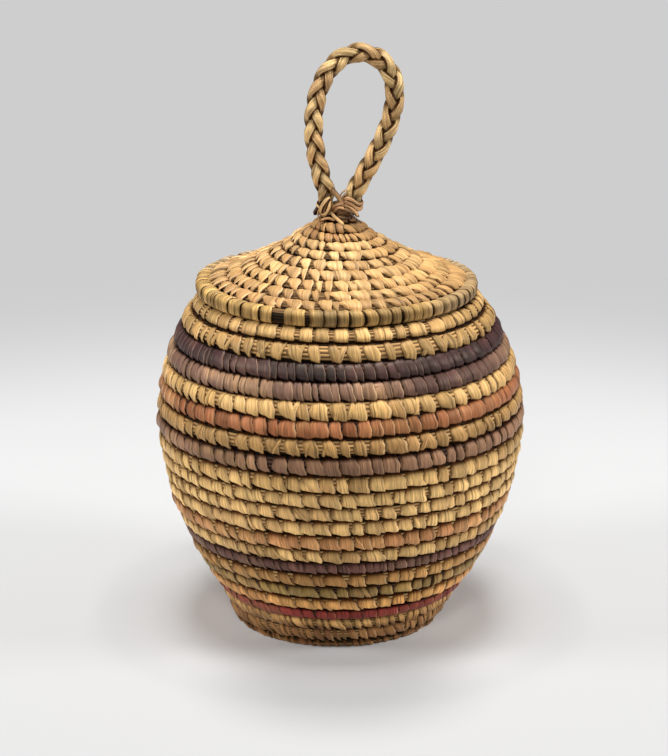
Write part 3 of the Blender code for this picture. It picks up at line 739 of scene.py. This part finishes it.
# Looks of grass: main, second and faded colour, then what is special
GRASSES = (
    ("straw_stitches", ((0.73, 0.45, 0.168), (0.6, 0.35, 0.12), (0.58, 0.29, 0.115)),
     dict(fade_share=0.2, zones=(TOP_ROW_SHADE, UPPER_ROW_SHADE, BELLY_ROWS))),
    ("lid_stitches", ((0.66, 0.4, 0.155), (0.59, 0.325, 0.12), (0.56, 0.29, 0.12)),
     dict(fade_share=0.25, zones=(LID_EDGE_SHADE,), edge_highlight=(0.84, 0.6, 0.33))),
    ("pale_lid_stitches", ((0.68, 0.415, 0.17), (0.62, 0.345, 0.13), (0.58, 0.3, 0.12)),
     dict(fade_share=0.25, edge_highlight=(0.88, 0.66, 0.38))),
    ("foot_stitches", ((0.4, 0.19, 0.064), (0.27, 0.112, 0.043), (0.45, 0.225, 0.08)),
     dict(zones=(FOOT_TOP_ROW_LIGHT,))),
    ("crown_stitches", ((0.5, 0.275, 0.1), (0.38, 0.185, 0.07), (0.6, 0.36, 0.15)), dict(fade_share=0.4)),
    ("red_stitches", ((0.33, 0.043, 0.034), (0.27, 0.037, 0.029), (0.37, 0.115, 0.058)),
     dict(edge=0.25, shine=0.3)),
    ("gold_stitches", ((0.95, 0.5, 0.152), (0.83, 0.39, 0.117), (0.84, 0.39, 0.138)), {}),
    ("olive_stitches", ((0.42, 0.27, 0.08), (0.335, 0.215, 0.072), (0.54, 0.3, 0.1)), dict(edge=0.45)),
    ("tan_stitches", ((0.62, 0.315, 0.098), (0.48, 0.232, 0.073), (0.68, 0.38, 0.116)), dict(edge=0.5)),
    ("mauve_stitches", ((0.205, 0.09, 0.07), (0.14, 0.06, 0.05), (0.27, 0.145, 0.09)),
     dict(edge=0.3, shine=0.3)),
    ("pink_stitches", ((0.7, 0.345, 0.132), (0.65, 0.29, 0.112), (0.72, 0.4, 0.13)), dict(fade_share=0.2)),
    ("slate_stitches", ((0.37, 0.195, 0.108), (0.25, 0.13, 0.078), (0.5, 0.285, 0.126)),
     dict(edge=0.35, shine=0.3)),
    ("rust_stitches", ((0.4, 0.15, 0.06), (0.32, 0.108, 0.04), (0.44, 0.22, 0.08)),
     dict(edge=0.4, shine=0.3)),
    ("pale_plum_stitches", ((0.25, 0.135, 0.088), (0.145, 0.074, 0.055), (0.4, 0.225, 0.11)),
     dict(fade_share=0.4, zones=(PALE_PLUM_RIGHT,), edge=0.4, shine=0.35)),
    ("plum_stitches", ((0.05, 0.018, 0.02), (0.028, 0.011, 0.012), (0.13, 0.055, 0.042)),
     dict(fade_share=0.35, zones=PLUM_MIDDLE, shine=0.5, edge_highlight=(0.42, 0.26, 0.18))),
    ("rim_stitches", ((0.58, 0.355, 0.115), (0.45, 0.265, 0.083), (0.42, 0.26, 0.092)),
     dict(fade_share=0.35, zones=RIM_STAINS, edge=0.4)),
    ("collar_stitches", ((0.52, 0.31, 0.1), (0.42, 0.26, 0.08), (0.5, 0.26, 0.1)), {}),
    ("handle_strands", ((0.7, 0.47, 0.205), (0.56, 0.33, 0.135), (0.4, 0.215, 0.09)),
     dict(fade_share=0.5)),
    ("pale_knot_strands", ((0.52, 0.275, 0.12), (0.36, 0.17, 0.075), (0.56, 0.34, 0.15)),
     dict(fade_share=0.5)),
    ("brown_knot_strands", ((0.36, 0.19, 0.08), (0.24, 0.115, 0.05), (0.42, 0.24, 0.1)), {}),
    ("dark_knot_strands", ((0.09, 0.041, 0.027), (0.06, 0.027, 0.018), (0.14, 0.07, 0.038)), dict(edge=0.1)),
)
STEMS = {"bundle_stems": (0.4, 0.23, 0.09), "lid_bundle_stems": (0.2, 0.11, 0.045),
         "dyed_bundle_stems": (0.06, 0.03, 0.02)}
MATERIALS = {name: grass(name, *colours, **special) for name, colours, special in GRASSES}
MATERIALS.update({name: stems(name, colour) for name, colour in STEMS.items()})
# Looks that aren't named after the slot, and slots with dark stems inside
LOOKS = {"base_coil": "foot_stitches", "foot_coil": "foot_stitches", "lid_crown": "crown_stitches",
         "lid_upper_cone": "pale_lid_stitches", "lid_lower_cone": "lid_stitches",
         "lid_rim": "rim_stitches", "lid_collar": "collar_stitches"}
DARK_SLOTS = ("plum_grass", "pale_plum_grass", "slate_grass", "mauve_grass", "red_grass", "rust_grass",
              "olive_grass")


# The coils with their sewing


def inside_material(slot, body):
    """Dark stems under dyed sewing, browner ones in the lid and plain ones elsewhere."""
    if slot in DARK_SLOTS:
        return MATERIALS["dyed_bundle_stems"]
    return MATERIALS["lid_bundle_stems" if body == "lid" else "bundle_stems"]


def finish_coil(coil, bands, body):
    """Stitches and bundle for each piece of a coil."""
    covered_to = bands[-1][2] - 1
    for name, start, end, styles, slot in bands:
        material = MATERIALS[LOOKS.get(name, slot.replace("_grass", "_stitches"))]
        stitches = sewn_piece(name + "_stitches", coil, styles, start, end, material, body)
        size = RIM_BUNDLE if name == "lid_rim" else BUNDLE
        stems_inside = inside_material(slot, body)
        bundle = bundle_piece(name + "_bundle", coil, start, end, covered_to, stems_inside, body, size)
        for piece in (stitches, bundle):
            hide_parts(name)


def bands_from(first, parts, coil):
    """Node, first and last turn, sewing and slot for each part of a coil."""
    bands = []
    for name, rounds, styles, slot in parts:
        end = min(first + len(rounds), coil.last + END_TURN)
        bands.append((name, max(first, START_TURN), end, styles, slot))
        first += len(rounds)
    return bands


def round_widths(parts):
    """The widths of all rounds of the parts."""
    return [width for _, rounds, _, _ in parts for width in rounds]


def build_wall():
    """The wall and its bottom."""
    top = MOUTH_HEIGHT + (MOUTH_HEIGHT - BELLY_HEIGHT) * RAMP_SHARE
    height = np.linspace(BASE_HEIGHT, top, PROFILE_STEPS)
    radii = np.concatenate(([0.0], wall_radius(height)))
    profile = measured(radii, np.concatenate(([BASE_HEIGHT], height)))
    mouth = float(np.interp(MOUTH_HEIGHT, profile[2][1:], profile[0][1:]))
    centres, widths = coil_centres(np.array([EDGE_ROUND_WIDTH] + round_widths(WALL)), FOOT_RADIUS, mouth)
    base = FOOT_RADIUS / BASE_ROUNDS
    centres = np.concatenate((np.arange(BASE_ROUNDS) * base, centres))
    widths = np.concatenate((np.full(BASE_ROUNDS, base), widths))
    coil = Coil(profile, centres, widths, (BASE_ROUNDS, len(centres) - 1), wall_middle, 1)
    first = BASE_ROUNDS + 1
    bottom = ("base_coil", START_TURN, first, [FEATHERS] * first, "brown_grass")
    finish_coil(coil, [bottom] + bands_from(first, WALL, coil), "basket")


def build_lid():
    """The lid's coil and its collar."""
    radii = np.linspace(0.0, LID_RIM_RADIUS * (1 + RAMP_SHARE), PROFILE_STEPS)
    profile = measured(radii, lid_height(radii))
    rim = float(np.interp(LID_RIM_RADIUS, radii, profile[0]))
    centres, widths = coil_centres(np.array(round_widths(LID)), 0.0, rim)
    coil = Coil(profile, centres, widths, (len(centres) - 1,), lid_middle, -1)
    finish_coil(coil, bands_from(0, LID, coil), "lid")

    heights = np.linspace(COLLAR_TOP + COLLAR_ROUND_WIDTH, COLLAR_TOP - 2 * COLLAR_ROUND_WIDTH, COLLAR_STEPS)
    profile = measured(np.full(COLLAR_STEPS, COLLAR_RADIUS), heights)
    centres = COLLAR_ROUND_WIDTH * np.array((1.0, 2.0))
    collar = Coil(profile, centres, np.full(2, COLLAR_ROUND_WIDTH), (0, 1), lid_middle, -1)
    band = ("lid_collar", COLLAR_START_TURN, COLLAR_END_TURN, [COLLAR_SEWING] * 2, "straw_grass")
    finish_coil(collar, [band], "lid")


# The handle

# A strand: sides around it, taper at its ends as a share of its length, least share of its size there,
# grooves along it, power of their creases, and depth between and on the blades
RIBBON_SIDES, RIBBON_TAPER, BLUNT_END = 24, 0.12, 0.04
GROOVES, CREASE_POWER, CREASE_DEPTH, BLADE_DEPTH = 2, 0.6, 0.80, 0.24
# Waves per metre and how strong they are: of the grooves, the width, and the tone and hue along it
WANDER, WANDER_WAVES = 0.25, 260
UNEVEN, UNEVEN_WAVES = 0.05, 700
TONE_WAVES, HUE_WAVES = 330, 190
# Painted shade: reach of the dark edges, level in the creases and what is left of it; share of the
# painted highlight on the blades; painted shade where a strand passes under another
EDGE_REACH, CREASE_SHADE, BLADE_SHADE, BLADE_HIGHLIGHT, UNDER_SHADE = 0.30, 0.55, 0.45, 0.3, 0.7


def ribbon(name, path, half_width, half_depth, facing, material, body, sides=RIBBON_SIDES,
           taper=RIBBON_TAPER, under=0.0):
    """A flat strand of a few blades along a path, widest across the direction that it faces."""
    tangent = unit(np.gradient(path, axis=0))
    wide = unit(np.cross(tangent, facing))
    deep = np.cross(wide, tangent)
    share = np.linspace(0, 1, len(path))
    ends = np.sqrt(np.clip(np.minimum(share, 1 - share) / taper, BLUNT_END, 1.0))
    run = travelled(path)
    angle = np.linspace(0, 2 * math.pi, sides, endpoint=False)[None]

    def wave(waves):
        return np.sin(run * waves + PHASES * RNG.random())

    wander = (WANDER * wave(WANDER_WAVES))[:, None]
    crease = np.abs(np.cos(math.pi / 2 * GROOVES * (np.cos(angle) + 1) + wander)) ** CREASE_POWER
    uneven = 1 + UNEVEN * wave(UNEVEN_WAVES)
    size = (half_width * ends * uneven)[:, None]
    depth = (half_depth * ends)[:, None] * (CREASE_DEPTH + BLADE_DEPTH * crease)
    points = (path[:, None] + wide[:, None] * (size * np.cos(angle))[..., None]
              + deep[:, None] * (depth * np.sin(angle))[..., None])[None]
    grain = stacked(depth.shape, angle * size, run[:, None], RNG.random() * GRAIN_SEEDS)
    # Painted shade at the edges, in the creases and where the strand passes under another
    shade = fade(-np.abs(np.cos(angle)), -1.0, EDGE_REACH) * (CREASE_SHADE + BLADE_SHADE * crease)
    shade *= 1 - UNDER_SHADE * smooth(-(under + 0 * run)[:, None] * np.sin(angle))
    tone, hue = (0.5 + 0.5 * wave(waves)[:, None] for waves in (TONE_WAVES, HUE_WAVES))
    tint = stacked(shade.shape, tone, hue, BLADE_HIGHLIGHT * crease, shade)
    return strip_mesh(name, points, False, grain[None], tint[None], material, body)


def handle_route():
    """The loop's middle line from the left foot over the top to the right foot."""
    angle = np.linspace(0, 2 * math.pi, HANDLE_STEPS)
    share = np.sin(angle / 2) ** 2
    # Widest at two thirds of its height, where the last factor makes it the half width
    drop = HANDLE_HALF_WIDTH * share * np.sqrt(1 - share) * 3 * math.sqrt(3) / 2
    side = np.hypot(drop, HANDLE_LEG_SPREAD * (1 - share) ** LEG_CURVE) * np.where(angle < math.pi, -1, 1)
    middle = SIDE_OFFSET + HANDLE_FOOT_OFFSET + (HANDLE_TOP_OFFSET - HANDLE_FOOT_OFFSET) * smooth(share)
    route = np.stack((middle + side, 0 * side, HANDLE_FOOT + HANDLE_HEIGHT * share), axis=1)
    return travelled(route), route


def build_braid():
    """Three flat strands, side by side at the feet and braided in between."""
    run, route = handle_route()
    length = run[-1]
    distance = np.linspace(BRAID_END_GAP, length - BRAID_END_GAP, BRAID_STEPS)
    middle = np.stack([np.interp(distance, run, route[:, axis]) for axis in range(3)], axis=1)
    depth = np.array((0.0, 1.0, 0.0))
    side = np.cross(unit(np.gradient(middle, axis=0)), depth)
    inward = np.minimum(distance, length - distance)
    braided = fade(inward, BRAID_BEGIN, BRAID_EASE)
    share = (distance - BRAID_START) / (length - 2 * BRAID_START)
    for number, letter in enumerate("abc"):
        phase = 2 * math.pi * (BRAID_PERIODS * share + number / 3)
        swing = BRAID_SIDE * np.sin(phase) * braided
        flat = FOOT_SIDE * np.sin(phase) / math.sin(2 * math.pi / 3) * (1 - braided)
        deep = BRAID_DEPTH * np.sin(2 * phase) * braided
        path = middle + side * (swing + flat)[:, None] + depth * deep[:, None]
        lean = -STRAND_LEAN * np.sin(phase) ** 3 * braided
        facing = depth * np.cos(lean)[:, None] + side * np.sin(lean)[:, None]
        half_width = FOOT_HALF_WIDTH + (STRAND_HALF_WIDTH - FOOT_HALF_WIDTH) * braided
        half_depth = FOOT_HALF_DEPTH + (STRAND_HALF_DEPTH - FOOT_HALF_DEPTH) * braided
        name = "braid_strand_" + letter
        piece = ribbon(name + "_grass", path, half_width, half_depth, facing, MATERIALS["handle_strands"],
                       "handle", STRAND_SIDES, STRAND_TAPER, deep / BRAID_DEPTH)
        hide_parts(name)


# Knotted strands at the loop's feet: name, look and half width, then places, all in millimetres
KNOT = (
    ("left_fill", "brown_knot", 1.6,
     ((-5.0, -3.3, 179.9), (-5.9, -3.7, 177.8), (-6.7, -4.0, 175.6), (-7.1, -4.2, 173.4))),
    ("left_loop", "handle", 1.2,
     ((-4.4, -3.2, 180.0), (-6.0, -4.2, 178.6), (-7.7, -4.6, 176.2), (-8.1, -4.4, 173.6),
      (-6.4, -4.9, 173.3), (-4.8, -5.0, 175.8), (-4.2, -4.6, 178.7))),
    ("left_hook", "pale_knot", 1.0,
     ((-4.4, -1.0, 184.1), (-2.0, -2.6, 181.1), (0.0, -3.5, 178.4), (0.4, -3.7, 175.9),
      (-1.6, -3.6, 174.5), (-4.0, -3.0, 174.2))),
    ("left_end", "pale_knot", 0.45,
     ((-5.6, -3.2, 177.5), (-8.3, -4.2, 175.7), (-9.3, -4.8, 173.7), (-8.9, -6.2, 171.2),
      (-8.5, -9.8, 169.2))),
    ("left_leaf", "dark_knot", 1.7,
     ((-7.4, 0.1, 178.2), (-8.8, -0.2, 175.4), (-10.9, -0.6, 171.9))),
    ("left_fold", "brown_knot", 0.9,
     ((-9.2, -2.2, 172.6), (-8.6, -3.4, 174.4), (-7.0, -4.2, 176.6), (-5.6, -4.0, 178.6))),
    ("middle_fold_a", "brown_knot", 1.0,
     ((-5.4, -2.4, 173.0), (-3.4, -3.8, 175.4), (-1.4, -4.2, 176.8), (0.8, -3.8, 177.2))),
    ("middle_fold_b", "pale_knot", 0.8,
     ((-3.6, -3.4, 172.4), (-2.4, -4.4, 174.4), (-0.6, -4.8, 175.8), (1.6, -4.6, 175.0))),
    ("middle_end", "handle", 0.8,
     ((-4.6, -4.2, 174.6), (-2.8, -5.6, 172.7), (-0.8, -7.2, 171.2), (1.2, -9.6, 169.8))),
    ("middle_arc", "pale_knot", 0.6,
     ((-8.5, -6.0, 170.7), (-6.4, -6.3, 171.7), (-4.4, -6.5, 171.8), (-2.4, -7.0, 171.0))),
    ("right_wrap_a", "pale_knot", 0.95,
     ((-0.4, -1.8, 178.0), (2.1, -3.5, 179.6), (4.5, -4.0, 178.9), (6.9, -3.2, 177.1), (8.6, -0.8, 177.0),
      (8.0, 2.2, 177.4), (5.0, 3.4, 178.4), (1.6, 2.8, 178.4), (-0.6, 0.4, 177.6))),
    ("right_wrap_b", "pale_knot", 0.95,
     ((-0.4, -2.0, 176.8), (2.1, -3.7, 178.0), (4.5, -4.2, 177.1), (6.9, -3.4, 175.0), (8.4, -0.6, 175.2),
      (7.6, 2.2, 175.8), (4.8, 3.4, 176.8), (1.6, 2.8, 176.8))),
    ("right_wrap_c", "pale_knot", 0.95,
     ((0.0, -2.4, 175.7), (2.5, -3.9, 176.6), (4.5, -4.4, 175.5), (6.1, -4.2, 173.6), (6.6, -4.4, 171.9))),
    ("right_wrap_d", "brown_knot", 0.9,
     ((-0.4, -3.0, 174.4), (2.6, -4.3, 175.0), (5.4, -4.4, 173.9), (7.4, -3.6, 171.8))),
    ("right_thin_a", "handle", 0.4,
     ((-0.4, -3.6, 178.8), (1.7, -3.8, 181.4), (4.1, -2.8, 183.2))),
    ("right_thin_b", "handle", 0.35,
     ((-0.4, -2.4, 180.2), (0.8, -2.4, 181.9), (2.1, -1.6, 182.5))),
    ("right_dark_end", "dark_knot", 0.5,
     ((0.4, -3.8, 176.0), (2.9, -4.4, 174.5), (5.3, -6.0, 172.3), (8.5, -8.2, 170.2))),
    ("right_dark_arc", "dark_knot", 0.5,
     ((-2.0, -5.0, 172.2), (0.8, -6.0, 171.6), (3.7, -5.6, 172.0), (5.3, -4.4, 173.2))),
    ("right_tuck", "pale_knot", 1.25,
     ((-1.6, -2.7, 172.8), (1.2, -3.2, 173.5), (4.4, -2.7, 172.9))),
    # The two knot cores are the knot's inner mass, coloured dark as painted shade between the knot and the
    # crown
    ("knot_core_a", "dark_knot", 1.7,
     ((-8.9, -0.5, 173.9), (-6.5, -1.2, 175.4), (-3.2, -1.4, 174.0), (0.0, -1.2, 175.0),
      (3.3, -1.2, 175.2), (6.2, -0.8, 174.0))),
    ("knot_core_b", "dark_knot", 1.5,
     ((-8.4, 1.6, 173.9), (-4.4, 2.4, 175.2), (-0.4, 2.4, 174.2), (5.4, 1.8, 174.0))),
    ("left_wrap", "handle", 0.8,
     ((-5.0, 3.2, 179.0), (-8.2, 2.4, 177.6), (-9.6, 0.2, 176.2), (-8.6, -2.6, 175.4))),
    ("back_tuck", "handle", 0.9,
     ((-7.8, 3.2, 172.9), (-4.0, 4.2, 175.2), (0.4, 4.2, 176.2), (4.4, 3.8, 174.6), (6.4, 3.2, 172.9))),
)
# Loose ends that lie on the crown and ride the lid; the other strands ride the handle
LOOSE_ENDS = ("left_end", "middle_end", "middle_arc", "right_dark_arc", "right_tuck")
# Steps of a strand between two places, its depth as a share of its width, the knot's middle, how much a
# strand faces upwards, and which strands belong to the left foot, by the place they start from
KNOT_STEPS, KNOT_DEPTH = 14, 0.62
KNOT_MIDDLE, KNOT_FACING_UP = (-0.0005, 0.0, 0.0), 0.0008
LEFT_KNOT = -1


def build_knots():
    """The ends of the strands, knotted and wrapped where the loop meets the crown."""
    for name, look, half_width, places in KNOT:
        body = "lid" if name in LOOSE_ENDS else "handle"
        path = open_spline(np.array(places) / 1000, KNOT_STEPS * len(places))
        facing = (path - KNOT_MIDDLE) * (1.0, 1.0, 0.0) + (0.0, 0.0, KNOT_FACING_UP)
        half = half_width / 1000
        material = MATERIALS[look + "_strands"]
        piece = ribbon(name, path, half, half * KNOT_DEPTH, unit(facing), material, body)
        tie = "left_tie" if places[0][0] < LEFT_KNOT else "right_tie"
        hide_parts(tie if body == "handle" else "lid_crown")


# The stage

FLOOR_SIDE = 30.0
# Floor levels as ramps: from front to back, painted light beside the basket, a painted shadow just in
# front of it, and where the floor runs out into the plain background
FLOOR_LEVEL = (-0.16, 0.26, 0.45, 0.55)
FLOOR_PAINTED_LIGHT = (0.049, 0.104, 1.77, 1.0)
FLOOR_PAINTED_SHADOW, PAINTED_SHADOW_PLACE = (0.020, 0.070, 0.72, 1.0), (0.0, -0.075, 0.0)
FLOOR_END = (0.30, 0.60)
FLOOR_ROUGHNESS, FLOOR_SHINE = 0.9, 0.1
BACKGROUND, ROOM_LIGHT = (0.617, 0.617, 0.617), (0.045, 0.045, 0.045)
# Lights: name, place, size and power; they all face a point in the basket
LIGHTS = (
    ("top_light", (0.0, -0.02, 1.20), 0.56, 17.6),
    ("left_light", (-1.0, -0.25, 0.60), 0.4, 7.2),
    ("right_light", (1.0, -0.25, 0.60), 0.4, 8.0),
    ("front_light", (-0.15, -1.5, 1.10), 0.4, 6.5),
)
LIT_POINT = (0, 0, 0.1)


def floor_material():
    """Pale paper that shows the basket's light and shade, with painted light beside it and a painted shadow
    in front of it, and runs out into the background.
    """
    nodes = Nodes(bpy.data.materials.new("floor_paper"))
    place = nodes.new("TexCoord").outputs["Object"]
    distance = nodes.distance(place, (0.0, 0.0, 0.0))
    depth = nodes.new("SeparateXYZ", ((0, place),)).outputs[1]
    # Painted light beside the basket and a painted shadow in front of it
    beside = nodes.ramp(distance, *FLOOR_PAINTED_LIGHT)
    front = nodes.ramp(nodes.distance(place, PAINTED_SHADOW_PLACE), *FLOOR_PAINTED_SHADOW)
    level = nodes.times(nodes.ramp(depth, *FLOOR_LEVEL), nodes.times(beside, front))
    nodes.look("Base Color", nodes.grey(level))
    nodes.look("Roughness", FLOOR_ROUGHNESS)
    nodes.look("Specular IOR Level", FLOOR_SHINE)
    glow = nodes.new("Emission", (("Color", BACKGROUND),)).outputs[0]
    far = nodes.times(nodes.ramp(distance, *FLOOR_END), nodes.new("LightPath").outputs["Is Camera Ray"])
    blend = nodes.new("MixShader", enumerate((far, nodes.shader.outputs[0], glow))).outputs[0]
    nodes.put(nodes.tree.nodes["Material Output"].inputs["Surface"], blend)
    return nodes.owner


def build_floor():
    """A wide flat floor."""
    mesh = bpy.data.meshes.new("floor")
    corners = [(x * FLOOR_SIDE, y * FLOOR_SIDE, 0) for x, y in ((-1, -1), (1, -1), (1, 1), (-1, 1))]
    mesh.from_pydata(corners, [], [(0, 1, 2, 3)])
    mesh.materials.append(floor_material())
    floor = placed("floor", mesh)


def build_world():
    """Dim light from all around, seen by the camera as a plain background."""
    world = bpy.data.worlds.new("room")
    bpy.context.scene.world = world
    nodes = Nodes(world)
    seen = nodes.new("LightPath").outputs["Is Camera Ray"]
    nodes.put(nodes.tree.nodes["Background"].inputs["Color"], nodes.mix(seen, ROOM_LIGHT, BACKGROUND))


def build_lights():
    """Soft square lights above, beside and in front."""
    for name, place, size, energy in LIGHTS:
        lamp = bpy.data.lights.new(name, "AREA")
        lamp.shape = "SQUARE"
        lamp.size = size
        lamp.energy = energy
        holder = placed(name, lamp)
        holder.location = place
        aim = Vector(LIT_POINT) - Vector(place)
        holder.rotation_euler = aim.to_track_quat("-Z", "Y").to_euler()


def build_camera():
    """The photograph's camera."""
    camera = bpy.data.cameras.new("camera")
    camera.lens = FOCAL_PIXELS * SENSOR_SIZE / PHOTO_HEIGHT
    camera.sensor_width = SENSOR_SIZE
    holder = placed("camera", camera)
    holder.location = CAMERA_PLACE
    holder.rotation_euler = (math.radians(90 - CAMERA_PITCH), 0, 0)
    bpy.context.scene.camera = holder
    bpy.context.scene.view_settings.view_transform = "Standard"


build_floor()
build_world()
build_lights()
build_camera()
build_wall()
build_lid()
build_braid()
build_knots()
